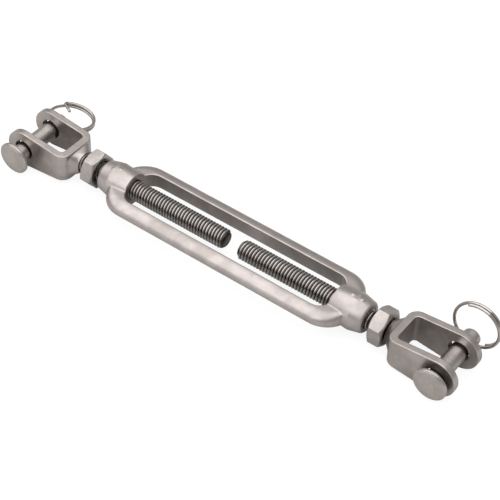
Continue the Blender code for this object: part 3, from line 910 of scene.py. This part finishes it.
# painted shade: the steel's colour darkens towards the rod's middle, into the thread's root
tree = STEELS["rod"].node_tree
shader = tree.nodes["Principled BSDF"]
unshaded_colour = shader.inputs["Base Color"].links[0].from_socket
place = node(tree, "ShaderNodeSeparateXYZ",
             Vector=tree.nodes.new("ShaderNodeTexCoord").outputs["Object"])
across = node(tree, "ShaderNodeCombineXYZ", X=place.outputs["X"], Y=place.outputs["Y"])
depth = node(tree, "ShaderNodeVectorMath", {"operation": "LENGTH"}, _0=across.outputs[0])
root_shade = ramp(tree, depth.outputs["Value"], (ROOT_RADIUS + 0.00005, CREST_RADIUS - 0.00004, 0.92, 0))
shaded_root_colour = node(tree, "ShaderNodeMix", {"data_type": "RGBA"}, _0=root_shade)
tree.links.new(unshaded_colour, shaded_root_colour.inputs[6])
# the near-black tint of the painted shade in the thread's root
shaded_root_colour.inputs[7].default_value = (0.06, 0.05, 0.045, 1)
tree.links.new(shaded_root_colour.outputs[2], shader.inputs["Base Color"])

body.data.materials.append(STEELS["body"])
for end in ENDS.values():
    for kind in ("fork", "rod", "nut", "pin", "ring"):
        end[kind].data.materials.clear()
        end[kind].data.materials.append(STEELS[kind])
print("steels:", ", ".join(sorted(STEELS)))

# %% [markdown]
# ## Floor and light
# Metal shows its surroundings more than itself. The floor is plain and pale, and bright enough to
# be nearly white, but polished steel would then turn white underneath too. So what the steel
# reflects is set apart: a calm grey floor and room. One large lamp hangs overhead, drawn forwards
# and to the left, which lays the long highlights on the rounded bars. A dim low lamp in front
# lifts the sides that face it.

# %% Floor
FLOOR_SIZE = 3.0
FLOOR_GAP = 0.00002
FLOOR_GLOW = 0.84  # share of the floor's tone that doesn't take shadow
bm = bmesh.new()
bmesh.ops.create_grid(bm, x_segments=1, y_segments=1, size=FLOOR_SIZE / 2)
floor = mesh_piece("floor", bm)
floor.location.z = solid_low.z - FLOOR_GAP
floor_finish = bpy.data.materials.new("pale_floor")
floor_finish.use_nodes = True
tree = floor_finish.node_tree
tree.nodes.remove(tree.nodes["Principled BSDF"])
matt = node(tree, "ShaderNodeBsdfDiffuse", Color=(0.93, 0.93, 0.93, 1))
lit = node(tree, "ShaderNodeEmission", Color=(1, 1, 1, 1), Strength=1.04)
pale = node(tree, "ShaderNodeMixShader", _0=FLOOR_GLOW, _1=matt.outputs[0], _2=lit.outputs[0])
grey = node(tree, "ShaderNodeBsdfDiffuse", Color=(0.40, 0.388, 0.38, 1))
ray = tree.nodes.new("ShaderNodeLightPath")
both = node(tree, "ShaderNodeMixShader", _0=ray.outputs["Is Glossy Ray"], _1=pale.outputs[0],
            _2=grey.outputs[0])
tree.links.new(both.outputs[0], tree.nodes["Material Output"].inputs["Surface"])
floor.data.materials.append(floor_finish)

# %% Room and lamps
HORIZON, ZENITH = (0.30, 0.285, 0.28, 1), (0.46, 0.437, 0.428, 1)
world = bpy.data.worlds.new("studio")
bpy.context.scene.world = world
world.use_nodes = True
tree = world.node_tree
tree.nodes.clear()
direction = tree.nodes.new("ShaderNodeTexCoord").outputs["Generated"]
height = node(tree, "ShaderNodeSeparateXYZ", Vector=direction).outputs["Z"]
room = node(tree, "ShaderNodeMix", {"data_type": "RGBA"}, _0=ramp(tree, height, (0.0, 0.9, 0, 1)))
room.inputs[6].default_value = HORIZON
room.inputs[7].default_value = ZENITH
seen = node(tree, "ShaderNodeBackground", Color=room.outputs[2], Strength=1.0)
plain = node(tree, "ShaderNodeBackground", Color=(1, 1, 1, 1), Strength=1.0)
ray = tree.nodes.new("ShaderNodeLightPath")
mixed = node(tree, "ShaderNodeMixShader", _0=ray.outputs["Is Glossy Ray"], _1=plain.outputs[0],
             _2=seen.outputs[0])
sky = tree.nodes.new("ShaderNodeOutputWorld")
tree.links.new(mixed.outputs[0], sky.inputs["Surface"])


def lamp(name, direction, distance, size, power, tint):
    """A flat lamp that faces the turnbuckle from the given direction."""
    light = bpy.data.lights.new(name, "AREA")
    light.shape = "RECTANGLE"
    light.size, light.size_y = size
    light.energy = power
    light.color = tint
    obj = bpy.data.objects.new(name, light)
    obj.matrix_world = facing(spot(0) + Vector(direction).normalized() * distance, direction,
                              (1, 0, 0))
    bpy.context.scene.collection.objects.link(obj)
    return obj


overhead = lamp("overhead_lamp", direction=(0, 0, 1), distance=0.6, size=(1.5, 1.7), power=8.0,
                tint=(1.0, 0.955, 0.95))
overhead.location += Vector((-0.35, -0.48, 0))
lamp("low_lamp", direction=(-0.45, -0.88, 0.05), distance=0.9, size=(0.80, 0.30), power=0.5,
     tint=(1.0, 0.98, 0.96))
bpy.context.scene.view_settings.view_transform = "Standard"

# %% [markdown]
# ## Measure and finish
# The detailed model must keep to the solids' size, so the solids' box is printed.

# %% Sizes, and the last line
print("solids  ", [round(1000 * v, 2) for v in solid_high - solid_low], "mm")
